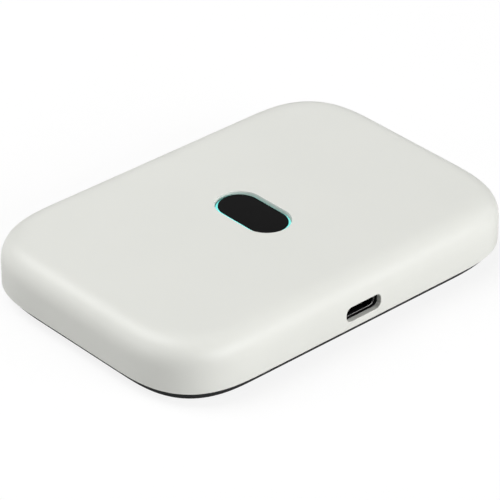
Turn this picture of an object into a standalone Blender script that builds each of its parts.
"""Pocket mobile hotspot: white top shell, dark clip-on back cover, lit status window, USB-C port,
SIM tray and keys.

Sizes are in millimetres and become metres when a mesh is made. +Z is up, with the origin at the
centre of the resting face. +X runs along the long side. The USB-C port is in the -Y long side,
and the SIM tray and power key are in the +X end.
"""

import math

import bmesh
import bpy
from mathutils import Vector

MM = 0.001  # metres in a millimetre
FIT = 0.05  # gap between pieces that touch
OVER = 1.0  # how far a cutter runs past the face it opens
WELD = 0.3  # how far joined frame bodies run into the floor

# Case
CASE_L = 95.0  # along X
CASE_W = 64.9  # along Y
CASE_H = 13.75  # resting face to top face
HALF_L, HALF_W = CASE_L / 2, CASE_W / 2
SEAM_Z = 2.83  # lower edge of the white shell
CORNER_R, CORNER_POWER = 20.6, 2.86  # plan corner, a superellipse quadrant
BLEND, BLEND_POWER = 6.4, 2.59  # top edge blend, a superellipse quadrant
WALL = 1.6
ROOF = 1.5
ROOF_UNDER = CASE_H - ROOF
WALL_IN_X = HALF_L - WALL  # inner face of the +X wall
WALL_IN_Y = -HALF_W + WALL  # inner face of the -Y wall
CASE_STEPS = 10  # segments in a plan corner of the shell and cover
INSIDE_STEPS = 8  # the same for the parts inside

# Status window in the roof, a pill whose long axis is along Y
OPEN_W, OPEN_L = 10.4, 18.2  # opening in the roof
WINDOW_STEPS = 9

# USB-C port
PORT_X, PORT_Z = 0.16, 6.12
PORT_W, PORT_H, PORT_R = 9.4, 3.36, 1.35
USB_ROOM_X = (-6.0, 6.0)  # room for the receptacle in the cover lip and frame

# Levels of the frame floor and main board
FLOOR_Z0, FLOOR_Z1 = 7.0, 7.8
BOARD_Z0, BOARD_Z1 = 7.95, 8.75
ON_BOARD = BOARD_Z1 + FIT  # where parts on top of the board start
UNDER_BOARD = BOARD_Z0 - FIT  # where parts below the board end

# Places shared by several pieces
BAY_X, BAY_Y = (-36.5, 23.5), (-21.3, 26.3)  # battery
SCREWS = (  # x, y
    (-40.3, -20.8), (-40.3, 20.8), (39.6, -22.6), (39.6, 22.6), (-15.0, -26.4), (15.0, -26.4),
)
SCREW_RELIEF = 2.5  # radius cleared round a screw boss
SIM_Y, SIM_Z = -5.7, 7.10
KEY_Y, KEY_Z = 7.4, 7.10
RESET_X, RESET_Y = 33.0, 4.2

for old in list(bpy.data.objects):
    bpy.data.objects.remove(old, do_unlink=True)


# ---------------------------------------------------------------- materials
def material(name, rgb, roughness, metallic=0.0, glow=0.0):
    made = bpy.data.materials.new(name)
    made.use_nodes = True
    inputs = made.node_tree.nodes["Principled BSDF"].inputs
    inputs["Base Color"].default_value = (*rgb, 1.0)
    inputs["Roughness"].default_value = roughness
    inputs["Metallic"].default_value = metallic
    if glow:
        inputs["Emission Color"].default_value = (*rgb, 1.0)
        inputs["Emission Strength"].default_value = glow
    return made


WHITE = material("shell_white", rgb=(0.74, 0.75, 0.70), roughness=0.5)
DARK = material("cover_dark", rgb=(0.022, 0.022, 0.024), roughness=0.55)
LENS = material("window_black", rgb=(0.012, 0.012, 0.013), roughness=0.35)
CYAN = material("light_cyan", rgb=(0.18, 0.93, 0.86), roughness=0.4, glow=1.5)
FRAME = material("frame_black", rgb=(0.03, 0.03, 0.033), roughness=0.6)
BOARD = material("board_green", rgb=(0.02, 0.12, 0.06), roughness=0.4)
METAL = material("metal_nickel", rgb=(0.62, 0.62, 0.6), roughness=0.3, metallic=1.0)
GOLD = material("contact_gold", rgb=(0.8, 0.58, 0.22), roughness=0.3, metallic=1.0)
CHIP = material("chip_black", rgb=(0.02, 0.02, 0.02), roughness=0.5)
RUBBER = material("rubber_black", rgb=(0.012, 0.012, 0.012), roughness=0.8)
BATTERY = material("battery_wrap", rgb=(0.05, 0.052, 0.06), roughness=0.4)
PAPER = material("pad_grey", rgb=(0.35, 0.36, 0.38), roughness=0.8)


# ---------------------------------------------------------------- outlines, anticlockwise
def superellipse(power, steps):
    """Points of a unit superellipse quadrant, from (1, 0) to (0, 1)."""
    points = []
    for i in range(steps + 1):
        angle = math.pi / 2 * i / steps
        x, y = math.cos(angle), math.sin(angle)
        reach = 1 / (abs(x) ** power + abs(y) ** power) ** (1 / power)
        points.append((reach * x, reach * y))
    return points


def case_outline(inset, steps=CASE_STEPS):
    """The case's plan outline moved in by inset: straight sides and superellipse corners."""
    radius = CORNER_R - inset
    quadrant = [
        (HALF_L - inset - radius + radius * x, HALF_W - inset - radius + radius * y)
        for x, y in superellipse(CORNER_POWER, steps)
    ]
    back = quadrant[::-1]
    return (
        quadrant
        + [(-x, y) for x, y in back]
        + [(-x, -y) for x, y in quadrant]
        + [(x, -y) for x, y in back]
    )


def rounded(centre_x, centre_y, width, height, radius, steps=6):
    """A rounded rectangle. With radius at half the short side it is a pill."""
    radius = min(radius, width / 2 - 1e-4, height / 2 - 1e-4)
    points = []
    for corner, (side_x, side_y) in enumerate(((1, 1), (-1, 1), (-1, -1), (1, -1))):
        x = centre_x + side_x * (width / 2 - radius)
        y = centre_y + side_y * (height / 2 - radius)
        for i in range(steps + 1):
            angle = math.pi / 2 * (corner + i / steps)
            points.append((x + radius * math.cos(angle), y + radius * math.sin(angle)))
    return points


def circle(x, y, radius, steps):
    angles = [2 * math.pi * i / steps for i in range(steps)]
    return [(x + radius * math.cos(angle), y + radius * math.sin(angle)) for angle in angles]


def port_outline(width, height, radius, steps=6):
    return rounded(PORT_X, PORT_Z, width, height, radius, steps)


def bay_outline(grow, radius):
    """The battery's plan outline moved out by grow."""
    width, length = BAY_X[1] - BAY_X[0], BAY_Y[1] - BAY_Y[0]
    return rounded(sum(BAY_X) / 2, sum(BAY_Y) / 2, width + 2 * grow, length + 2 * grow, radius, 4)


# ---------------------------------------------------------------- shapes, each a list of rings
def around(centre, half):
    return (centre - half, centre + half)


def ring(outline, at, axis="z"):
    """The outline placed across an axis: it is (x, y) for z, (x, z) for y and (y, z) for x."""
    if axis == "z":
        return [(x, y, at) for x, y in outline]
    if axis == "y":
        return [(x, at, z) for x, z in outline]
    return [(at, y, z) for y, z in outline]


def prism(outline, low, high, axis="z"):
    return [ring(outline, low, axis), ring(outline, high, axis)]


def box(x_span, y_span, z_span):
    (x0, x1), (y0, y1) = x_span, y_span
    return prism([(x0, y0), (x1, y0), (x1, y1), (x0, y1)], *z_span)


def turned(x, y, profile, steps):
    """A round body on an upright axis, through (radius, z) stations."""
    return [ring(circle(x, y, radius, steps), z) for radius, z in profile]


def cylinder(x, y, radius, low, high, steps=20):
    return turned(x, y, ((radius, low), (radius, high)), steps)


def screw_cylinders(radius, low, high, steps=20, places=SCREWS):
    return [cylinder(x, y, radius, low, high, steps) for x, y in places]


def case_rings(stations):
    """Rings of the case outline through (inset, z) stations."""
    return [ring(case_outline(inset), z) for inset, z in stations]


def window_rings(width, length, stations):
    """Window rings through (growth in width and length, corner radius, z) stations."""
    return [
        ring(rounded(0, 0, width + grow, length + grow, radius, WINDOW_STEPS), z)
        for grow, radius, z in stations
    ]


# ---------------------------------------------------------------- objects
def loft(bm, rings):
    """Closed body through rings of equal length, with a face across the first and the last."""
    rows = [[bm.verts.new(point) for point in points] for points in rings]
    count = len(rows[0])
    for lower, upper in zip(rows, rows[1:]):
        for i in range(count):
            after = (i + 1) % count
            bm.faces.new((lower[i], lower[after], upper[after], upper[i]))
    bm.faces.new(rows[0][::-1])
    bm.faces.new(rows[-1])


def solid(name, shapes, mat=None, origin=(0.0, 0.0, 0.0), smooth=35.0):
    """One object from the shapes. Edges sharper than smooth degrees stay sharp; 0 is flat."""
    bm = bmesh.new()
    for shape in shapes:
        loft(bm, shape)
    bmesh.ops.recalc_face_normals(bm, faces=bm.faces)
    origin = Vector(origin)
    bmesh.ops.translate(bm, verts=bm.verts, vec=-origin)
    bmesh.ops.scale(bm, verts=bm.verts, vec=(MM, MM, MM))
    mesh = bpy.data.meshes.new(name)
    bm.to_mesh(mesh)
    bm.free()
    if smooth:
        mesh.shade_smooth()
        mesh.set_sharp_from_angle(angle=math.radians(smooth))
    if mat:
        mesh.materials.append(mat)
    made = bpy.data.objects.new(name, mesh)
    made.location = origin * MM
    bpy.context.scene.collection.objects.link(made)
    return made


def block(name, x_span, y_span, z_span, mat, bevel=0.0, segments=1):
    """A box with its origin at its centre."""
    centre = [sum(span) / 2 for span in (x_span, y_span, z_span)]
    made = solid(name, [box(x_span, y_span, z_span)], mat, centre)
    if bevel:
        edge = made.modifiers.new("edges", "BEVEL")
        edge.width = bevel * MM
        edge.segments = segments
        edge.limit_method = "ANGLE"
    return made


def boolean(target, operation, label, shapes):
    """Adds a boolean whose helper object isn't a piece of the product."""
    helper = solid(f"{target.name}_{label}", shapes, smooth=0)
    helper.hide_render = True
    helper.display_type = "WIRE"
    step = target.modifiers.new(label, "BOOLEAN")
    step.operation = operation
    step.solver = "EXACT"
    step.use_self = True
    step.object = helper


def join(target, label, shapes):
    boolean(target, "UNION", label, shapes)


def cut(target, label, shapes):
    boolean(target, "DIFFERENCE", label, shapes)


# ---------------------------------------------------------------- top shell
EDGE_BREAK = 0.10  # chamfer round the shell's lower edge
BOSS_R, BOSS_TOP = 2.25, 12.6
BOSS_BORE_R, BOSS_BORE_TOP = 0.85, 11.4


def blend_stations(inset, run, rise, steps):
    """(inset, z) from the top of the flat wall to the edge of the flat roof."""
    return [
        (inset + run * (1 - x), CASE_H - BLEND + rise * z)
        for x, z in superellipse(BLEND_POWER, steps)
    ]


def build_top_shell():
    inner = blend_stations(WALL, run=BLEND - WALL + 0.2, rise=BLEND - ROOF, steps=5)
    edge = [(WALL, SEAM_Z), (EDGE_BREAK, SEAM_Z), (0.0, SEAM_Z + EDGE_BREAK)]
    outer = blend_stations(0.0, run=BLEND, rise=BLEND, steps=9)
    shell = solid("top_shell", [case_rings(inner[::-1] + edge + outer)], WHITE, smooth=30)
    join(shell, "bosses", screw_cylinders(BOSS_R, FLOOR_Z1 + 0.1, BOSS_TOP))

    window = rounded(0, 0, OPEN_W, OPEN_L, OPEN_W / 2, WINDOW_STEPS)
    port = port_outline(PORT_W, PORT_H, PORT_R)
    sim_slot = rounded(SIM_Y, SIM_Z, 11.8, 2.2, 1.0, 5)
    key_slot = rounded(KEY_Y, KEY_Z, 9.0, 2.3, 1.15, 5)
    openings = [
        prism(window, ROOF_UNDER - OVER, CASE_H + OVER),
        prism(port, -HALF_W - OVER, WALL_IN_Y + OVER, "y"),
        prism(sim_slot, WALL_IN_X - OVER, HALF_L + OVER, "x"),
        prism(key_slot, WALL_IN_X - OVER, HALF_L + OVER, "x"),
    ]
    openings += screw_cylinders(BOSS_BORE_R, FLOOR_Z1 - 0.5, BOSS_BORE_TOP, 14)
    cut(shell, "openings", openings)


# ---------------------------------------------------------------- back cover
COVER_FLOOR = 1.2  # inside face of the cover
COVER_EDGE = (  # (inset, z) up the outside
    (2.62, 0.0), (2.36, 0.15), (1.72, 0.80), (1.15, 1.45), (0.70, 2.05), (0.42, 2.55),
    (0.35, 2.78),
)
LIP_OUT, LIP_IN, LIP_TOP = 1.75, 2.65, 4.4  # insets of the lip's faces, and its top
LIP_CHAMFER = 0.15
TAB_HALF, TAB_TOP = 2.5, 5.6
TAB_MARGIN = 0.02  # a tab is thinner than the lip by this on each face


def build_back_cover():
    lip = (
        (LIP_OUT, COVER_EDGE[-1][1]),
        (LIP_OUT, LIP_TOP - LIP_CHAMFER),
        (LIP_OUT + LIP_CHAMFER, LIP_TOP),
        (LIP_IN, LIP_TOP),
        (LIP_IN, COVER_FLOOR),
    )
    cover = solid("back_cover", [case_rings(COVER_EDGE + lip)], DARK, smooth=30)

    near, far = LIP_OUT + TAB_MARGIN, LIP_IN - TAB_MARGIN
    tab_z = (LIP_TOP - 1.2, TAB_TOP)
    plus_y, minus_y = (HALF_W - far, HALF_W - near), (-HALF_W + near, -HALF_W + far)
    tabs = [box(around(x, TAB_HALF), plus_y, tab_z) for x in (-21.0, 0.0, 21.0)]
    tabs += [box(around(x, TAB_HALF), minus_y, tab_z) for x in (-22.0, 22.0)]
    for end_x in ((-HALF_L + near, -HALF_L + far), (HALF_L - far, HALF_L - near)):
        tabs.append(box(end_x, around(0.0, TAB_HALF), tab_z))
    join(cover, "tabs", tabs)

    # Room for the USB-C receptacle and its gasket behind the lip.
    port_y = (-HALF_W + LIP_OUT - 0.1, -HALF_W + LIP_IN + 0.4)
    port_room = box(USB_ROOM_X, port_y, (3.2, LIP_TOP + OVER))
    # Fingernail notch in the rim at the +Y side.
    notch = rounded(0, SEAM_Z + 0.05, 12.0, 1.3, 0.6, 4)
    notch_depth = 1.55
    cut(cover, "cuts", [port_room, prism(notch, HALF_W - notch_depth, HALF_W + OVER, "y")])


# ---------------------------------------------------------------- window
LENS_W, LENS_L = 9.03, 17.0
LENS_FACE = CASE_H - 0.42
LENS_CHAMFER = 0.06
RING_TOP = CASE_H - 0.90  # lit ring round the lens
LIP_RISE = CASE_H - 0.49  # top of the ring's lip round the lens
SHROUD_W, SHROUD_L, SHROUD_WALL = 14.4, 22.0, 1.2
LEDS = ((-2.6, -6.2), (2.6, -6.2), (-2.6, 6.2), (2.6, 6.2))  # x, y


def build_light_guide():
    """A flange under the roof, a ring in the opening and a thin lip round the lens seat."""
    outside = window_rings(OPEN_W, OPEN_L, (
        (5.6, 8.0, ROOF_UNDER - 1.2),
        (5.6, 8.0, ROOF_UNDER - 0.1),
        (-0.2, 5.1, ROOF_UNDER - 0.1),
        (-0.2, 5.1, RING_TOP),
    ))
    lip_and_seat = window_rings(LENS_W, LENS_L, (
        (0.34, 4.68, RING_TOP),
        (0.34, 4.68, LIP_RISE - 0.1),
        (0.12, 4.57, LIP_RISE),
        (0.1, 4.56, LIP_RISE - 0.03),
        (0.1, 4.56, ROOF_UNDER - 0.05),
    ))
    solid("light_guide", [outside + lip_and_seat], CYAN, (0, 0, ROOF_UNDER - 0.6))


def build_lens():
    rings = window_rings(LENS_W, LENS_L, (
        (0.0, 4.51, ROOF_UNDER),
        (0.0, 4.51, LENS_FACE - LENS_CHAMFER),
        (-2 * LENS_CHAMFER, 4.45, LENS_FACE),
    ))
    solid("status_window", [rings], LENS, (0, 0, LENS_FACE))


def build_light_shroud():
    outside = rounded(0, 0, SHROUD_W, SHROUD_L, SHROUD_W / 2)
    bore_w, bore_l = SHROUD_W - 2 * SHROUD_WALL, SHROUD_L - 2 * SHROUD_WALL
    bore = rounded(0, 0, bore_w, bore_l, bore_w / 2)
    body = prism(outside, ON_BOARD, ROOF_UNDER - 1.25)
    shroud = solid("light_shroud", [body], FRAME, (0, 0, 10))
    cut(shroud, "bore", [prism(bore, BOARD_Z1 - OVER, ROOF_UNDER)])


def build_leds():
    led_z = (ON_BOARD, BOARD_Z1 + 0.65)
    for i, (x, y) in enumerate(LEDS):
        block(f"status_led_{i + 1}", around(x, 0.8), around(y, 0.4), led_z, CYAN)


# ---------------------------------------------------------------- USB-C port
GASKET_Y = -HALF_W + 1.05  # gasket face, set back from the wall face
USB_W, USB_H, USB_METAL = 8.74, 2.96, 0.2
USB_BORE_W, USB_BORE_H = USB_W - 2 * USB_METAL, USB_H - 2 * USB_METAL
USB_Y, USB_LENGTH = WALL_IN_Y - 0.06, 7.35


def build_port_gasket():
    plug = port_outline(PORT_W - 2 * FIT, PORT_H - 2 * FIT, PORT_R - FIT)
    body = prism(plug, GASKET_Y, WALL_IN_Y + 0.5, "y")
    gasket = solid("port_gasket", [body], RUBBER, (PORT_X, GASKET_Y, PORT_Z))
    flange = port_outline(10.8, 4.3, 1.9)
    join(gasket, "flange", [prism(flange, WALL_IN_Y + 0.06, WALL_IN_Y + 0.95, "y")])

    # The mouth is narrower than the seat behind it, which takes the metal shell.
    mouth_w, mouth_h = 8.60, 2.82
    seat_w, seat_h = USB_W + 2 * FIT, USB_H + 2 * FIT
    step_y = WALL_IN_Y - 0.10
    mouth = port_outline(mouth_w, mouth_h, mouth_h / 2)
    seat = port_outline(seat_w, seat_h, seat_h / 2)
    hole = prism(mouth, GASKET_Y - OVER, step_y, "y") + prism(seat, step_y, WALL_IN_Y + 2, "y")
    cut(gasket, "hole", [hole])


def build_usb_receptacle():
    outside = port_outline(USB_W, USB_H, USB_H / 2, 8)
    bore = port_outline(USB_BORE_W, USB_BORE_H, USB_BORE_H / 2, 8)
    body = prism(outside, USB_Y, USB_Y + USB_LENGTH, "y")
    shell = solid("usb_c_shell", [body], METAL, (PORT_X, USB_Y, PORT_Z))
    cut(shell, "bore", [prism(bore, USB_Y - OVER, USB_Y + 8.5, "y")])

    tongue_y = (USB_Y + 1.75, USB_Y + 6.6)
    tongue = block(
        "usb_c_tongue", around(PORT_X, 3.345), tongue_y, around(PORT_Z, 0.35), CHIP, bevel=0.1
    )
    base_w, base_h = USB_BORE_W - 2 * FIT, USB_BORE_H - 2 * FIT
    base = port_outline(base_w, base_h, base_h / 2, 8)
    join(tongue, "base", [prism(base, USB_Y + 6.0, USB_Y + USB_LENGTH - FIT, "y")])


# ---------------------------------------------------------------- frame
RIM_INSET, RIM_WALL = 2.85, 1.0  # rim's outer face from the case outline, and its thickness
RIM_Z = 2.0  # lower edge of the rim and battery ribs
BAY_GAP, BAY_WALL = 0.25, 1.0
CUT_TOP = 9.0  # top of the cutters, above the frame floor


def build_frame():
    floor = prism(case_outline(WALL + 0.2, INSIDE_STEPS), FLOOR_Z0, FLOOR_Z1)
    frame = solid("mid_frame", [floor], FRAME, smooth=30)
    weld_z = FLOOR_Z0 + WELD

    join(frame, "rim", [prism(case_outline(RIM_INSET, INSIDE_STEPS), RIM_Z, weld_z)])
    inside = case_outline(RIM_INSET + RIM_WALL, INSIDE_STEPS)
    cut(frame, "inside", [prism(inside, RIM_Z - OVER, FLOOR_Z0)])

    reset_pad = box(around(RESET_X, 2.8), around(RESET_Y, 2.8), (6.0, weld_z))
    bay_ribs = prism(bay_outline(BAY_GAP + BAY_WALL, 4.0), RIM_Z, weld_z)
    join(frame, "ribs", [bay_ribs, reset_pad])
    cut(frame, "bay", [prism(bay_outline(BAY_GAP, 3.2), RIM_Z - OVER, FLOOR_Z0)])

    cuts = screw_cylinders(1.05, FLOOR_Z0 - OVER, FLOOR_Z1 + OVER, 14)
    beyond_x = 50.0  # past the +X end of the case
    cuts += [
        # USB-C receptacle
        box(USB_ROOM_X, (-40.0, -23.0), (1.0, CUT_TOP)),
        # SIM reader and tray
        box((28.6, beyond_x), around(SIM_Y, 6.9), (5.4, CUT_TOP)),
        # power key and its switch
        box((38.4, beyond_x), around(KEY_Y, 5.7), (4.8, CUT_TOP)),
        # battery connector
        box((23.0, 28.2), (5.0, 17.0), (3.0, CUT_TOP)),
        # reset button and the room above it
        cylinder(RESET_X, RESET_Y, 1.1, 5.0, CUT_TOP, 16),
        box(around(RESET_X, 2.0), around(RESET_Y, 2.0), (6.9, CUT_TOP)),
    ]
    cut(frame, "cuts", cuts)


# ---------------------------------------------------------------- main board and what is on it
BOARD_END = -33.5  # the board stops here, short of the two -X screws
ACROSS_Y = (-40.0, 40.0)  # wider than the case
PAST_END = 60.0  # longer than half the case
CAN_HEIGHT, CAN_SHEET = 1.7, 0.25
CANS = (  # name, x span, y span
    ("modem", (-28.0, -10.0), (-12.0, 14.0)),
    ("radio", (11.0, 30.0), (-18.0, -2.0)),
    ("power", (11.0, 30.0), (2.0, 16.0)),
)
MODEM_X, MODEM_Y = (-24.0, -14.0), (-8.0, 2.0)
CHIPS = (  # name, x span, y span, height
    ("modem_chip", MODEM_X, MODEM_Y, 1.0),
    ("memory_chip", (-23.5, -14.5), (4.5, 12.0), 0.9),
    ("wifi_chip", (17.0, 24.0), (-13.5, -6.5), 0.9),
    ("charger_chip", (16.0, 21.0), (6.0, 11.0), 0.9),
)
CONTACT_YS = [8.2 + 2.8 * i for i in range(3)]
BLADE = (  # (x, z) round a bent battery contact
    (26.3, 4.1), (26.3, 6.3), (26.0, 6.3), (26.0, 4.7), (24.3, 5.6),
    (23.62, 5.2), (24.3, 4.8), (24.4, 5.15), (24.6, 5.1), (25.9, 4.1),
)


def build_board():
    outline = case_outline(3.3, INSIDE_STEPS)
    board = solid("main_board", [prism(outline, BOARD_Z0, BOARD_Z1)], BOARD, (0, 0, BOARD_Z0))
    cut_z = (7.0, 10.0)
    end = box((-PAST_END, BOARD_END), ACROSS_Y, cut_z)
    cut(board, "cuts", [end, *screw_cylinders(SCREW_RELIEF, *cut_z, 18, SCREWS[2:])])


def build_shield_cans():
    for name, x_span, y_span in CANS:
        top = ON_BOARD + CAN_HEIGHT
        can = block(
            f"shield_can_{name}", x_span, y_span, (ON_BOARD, top), METAL, bevel=0.3, segments=2
        )
        room_x, room_y = ((low + CAN_SHEET, high - CAN_SHEET) for low, high in (x_span, y_span))
        cut(can, "room", [box(room_x, room_y, (ON_BOARD - OVER, top - CAN_SHEET))])


def build_chips():
    for name, x_span, y_span, height in CHIPS:
        block(name, x_span, y_span, (ON_BOARD, ON_BOARD + height), CHIP)
    # The pad fills the height between the modem's can and the roof.
    pad_z = (ON_BOARD + CAN_HEIGHT + FIT, ROOF_UNDER - 0.1)
    block("thermal_pad", MODEM_X, MODEM_Y, pad_z, PAPER)


def build_battery_connector():
    body_z = (3.6, UNDER_BOARD)
    connector = block("battery_connector", (23.9, 27.6), (6.0, 16.0), body_z, CHIP, bevel=0.2)
    slots = [box((22.0, 26.4), around(y, 0.7), (4.0, 6.4)) for y in CONTACT_YS]
    cut(connector, "slots", slots)
    for i, y in enumerate(CONTACT_YS):
        blade = prism(BLADE, *around(y, 0.45), "y")
        solid(f"battery_contact_{i + 1}", [blade], GOLD, (26.0, y, 5.2), smooth=0)


def build_sim_reader():
    """A metal cage under the board, open towards the +X wall."""
    cage_z = (6.2, UNDER_BOARD)
    cage = block("sim_reader", (29.4, 43.0), around(SIM_Y, 6.2), cage_z, METAL)
    inside = box((29.7, 45.0), around(SIM_Y, 5.9), (6.4, UNDER_BOARD - 0.2))
    recess = box((33.0, 40.0), around(SIM_Y, 2.6), (5.5, 6.3))  # shallow, in the underside
    cut(cage, "room", [inside, recess])


# ---------------------------------------------------------------- antennas
CARRIER_TOP = 10.6
ANTENNA_ENDS = (("left", -1, 34.4), ("right", 1, 32.0))  # name, side along X, inner edge |x|
ANTENNA_PARTS = (
    # name, inset from the case outline, low z, high z, material, origin z,
    # cutter label, step back from the inner edge, radius cleared round a screw
    ("carrier", 3.6, BOARD_Z1 + 0.15, CARRIER_TOP, FRAME, 9.5, "cut", 0.0, SCREW_RELIEF),
    ("flex", 4.4, CARRIER_TOP + FIT, 10.8, GOLD, 10.7, "trim", 0.6, 2.9),
)


def build_antennas():
    """A plastic carrier over each end of the board, with a thin flexible antenna on it."""
    cut_z = (8.0, 12.0)
    for end, side, edge in ANTENNA_ENDS:
        screws = [(x, y) for x, y in SCREWS if x * side > 30]
        for name, inset, low, high, mat, origin_z, label, back, relief in ANTENNA_PARTS:
            body = prism(case_outline(inset, INSIDE_STEPS), low, high)
            part = solid(f"antenna_{name}_{end}", [body], mat, (side * 40, 0, origin_z))
            rest_x = sorted((side * (edge + back), -side * PAST_END))
            rest = box(rest_x, ACROSS_Y, cut_z)
            cut(part, label, [rest, *screw_cylinders(relief, *cut_z, 18, screws)])


# ---------------------------------------------------------------- battery
BATTERY_Z0, BATTERY_Z1 = 1.55, 6.75
BATTERY_R, BATTERY_CHAMFER = 3.0, 0.35


def build_battery():
    stations = (  # inset, z
        (BATTERY_CHAMFER, BATTERY_Z0),
        (0.0, BATTERY_Z0 + BATTERY_CHAMFER),
        (0.0, BATTERY_Z1 - BATTERY_CHAMFER),
        (BATTERY_CHAMFER, BATTERY_Z1),
    )
    rings = [ring(bay_outline(-inset, BATTERY_R - inset), z) for inset, z in stations]
    centre = [sum(span) / 2 for span in (BAY_X, BAY_Y, (BATTERY_Z0, BATTERY_Z1))]
    pack = solid("battery_pack", [rings], BATTERY, centre, smooth=30)
    # Finger scoop at the -X end, on the side that faces the cover.
    scoop = rounded(BAY_X[0], centre[1], 3.0, 12.0, 1.4, 4)
    cut(pack, "scoop", [prism(scoop, BATTERY_Z0 - OVER, BATTERY_Z0 + 1.6)])


# ---------------------------------------------------------------- SIM tray
CARD_X = 37.35  # centre of the card
CARD_HALF_L, CARD_HALF_W = 6.1, 4.35
CARD_CORNER = 1.45  # cut off one corner


def build_sim_tray():
    face = rounded(SIM_Y, SIM_Z, 11.6, 2.0, 0.9, 5)
    body = prism(face, WALL_IN_X, HALF_L, "x")
    tray = solid("sim_tray", [body], WHITE, (HALF_L, SIM_Y, SIM_Z))
    carrier = box((30.2, WALL_IN_X + 0.4), around(SIM_Y, 5.3), around(SIM_Z, 0.43))
    join(tray, "carrier", [carrier])

    pocket = rounded(CARD_X, SIM_Y, 12.5, 9.0, 0.6, 3)
    window = rounded(CARD_X, SIM_Y, 9.6, 6.6, 0.6, 3)  # through the pocket's floor
    pin_hole = circle(SIM_Y + 4.55, SIM_Z, 0.45, 14)
    cut(tray, "cuts", [
        prism(pocket, SIM_Z - 0.33, SIM_Z + OVER),
        prism(window, SIM_Z - OVER, SIM_Z - 0.2),
        prism(pin_hole, HALF_L - 1.2, HALF_L + OVER, "x"),
    ])


def build_sim_card():
    x0, x1 = around(CARD_X, CARD_HALF_L)
    y0, y1 = around(SIM_Y, CARD_HALF_W)
    outline = [(x0, y0), (x1, y0), (x1, y1 - CARD_CORNER), (x1 - CARD_CORNER, y1), (x0, y1)]
    body = prism(outline, SIM_Z - 0.27, SIM_Z + 0.38)
    solid("sim_card", [body], PAPER, (CARD_X, SIM_Y, SIM_Z))


# ---------------------------------------------------------------- keys
KEY_L, KEY_H = 8.8, 2.1  # power key along Y and Z
KEY_STATIONS = (  # x, inset of the key's outline
    (WALL_IN_X - 0.3, 0.0), (HALF_L + 0.15, 0.0), (HALF_L + 0.30, 0.10), (HALF_L + 0.35, 0.25),
)
STEM_HALF_Y, STEM_HALF_Z = 0.8, 0.5
STEM_GAP = 0.06


def build_power_button():
    rings = []
    for x, inset in KEY_STATIONS:
        length, height = KEY_L - 2 * inset, KEY_H - 2 * inset
        rings.append(ring(rounded(KEY_Y, KEY_Z, length, height, height / 2, 5), x, "x"))
    key = solid("power_button", [rings], WHITE, (HALF_L, KEY_Y, KEY_Z))
    flange = rounded(KEY_Y, KEY_Z, 10.6, 2.6, 0.6, 3)
    pusher_x = (WALL_IN_X - 1.25, WALL_IN_X - 0.70)
    join(key, "flange", [
        prism(flange, WALL_IN_X - 0.75, WALL_IN_X - 0.12, "x"),
        box(pusher_x, around(KEY_Y, 0.9), around(KEY_Z, 0.6)),
    ])


def build_power_switch():
    body_z = (6.25, UNDER_BOARD)
    body = block("power_switch", (39.5, 43.3), around(KEY_Y, 2.4), body_z, METAL, bevel=0.1)
    bore_y, bore_z = around(KEY_Y, STEM_HALF_Y + STEM_GAP), around(KEY_Z, STEM_HALF_Z + STEM_GAP)
    cut(body, "bore", [box((41.8, 43.8), bore_y, bore_z)])
    stem_y, stem_z = around(KEY_Y, STEM_HALF_Y), around(KEY_Z, STEM_HALF_Z)
    block("power_switch_stem", (42.4, 44.55), stem_y, stem_z, CHIP, bevel=0.08)


def build_reset():
    switch_z = (7.5, UNDER_BOARD)
    block("reset_switch", around(RESET_X, 1.5), around(RESET_Y, 1.5), switch_z, METAL)
    # Radius, z: a chamfered pin with a flange at its top.
    profile = ((0.8, 5.6), (1.0, 5.8), (1.0, 6.95), (1.5, 6.95), (1.5, 7.2))
    button = turned(RESET_X, RESET_Y, profile, 20)
    solid("reset_button", [button], CHIP, (RESET_X, RESET_Y, profile[0][1]))


# ---------------------------------------------------------------- screws
HEAD_TOP = FLOOR_Z0 - FIT  # the head bears up against the frame floor
SCREW_PROFILE = (  # radius, z
    (1.25, HEAD_TOP - 1.05), (1.7, HEAD_TOP - 0.8), (1.7, HEAD_TOP),
    (0.8, HEAD_TOP), (0.8, 10.4), (0.35, 11.0),
)
CROSS = (  # (x, y) round the cross recess, from the screw's axis
    (-0.95, -0.2), (-0.2, -0.2), (-0.2, -0.95), (0.2, -0.95), (0.2, -0.2), (0.95, -0.2),
    (0.95, 0.2), (0.2, 0.2), (0.2, 0.95), (-0.2, 0.95), (-0.2, 0.2), (-0.95, 0.2),
)


def build_screws():
    for i, (x, y) in enumerate(SCREWS):
        body = turned(x, y, SCREW_PROFILE, 16)
        screw = solid(f"case_screw_{i + 1}", [body], METAL, (x, y, HEAD_TOP), smooth=30)
        cross = [(x + across, y + along) for across, along in CROSS]
        cut(screw, "cross", [prism(cross, HEAD_TOP - 2, HEAD_TOP - 0.45)])


build_top_shell()
build_back_cover()
build_light_guide()
build_lens()
build_light_shroud()
build_leds()
build_port_gasket()
build_usb_receptacle()
build_frame()
build_board()
build_shield_cans()
build_chips()
build_battery_connector()
build_sim_reader()
build_antennas()
build_battery()
build_sim_tray()
build_sim_card()
build_power_button()
build_power_switch()
build_reset()
build_screws()
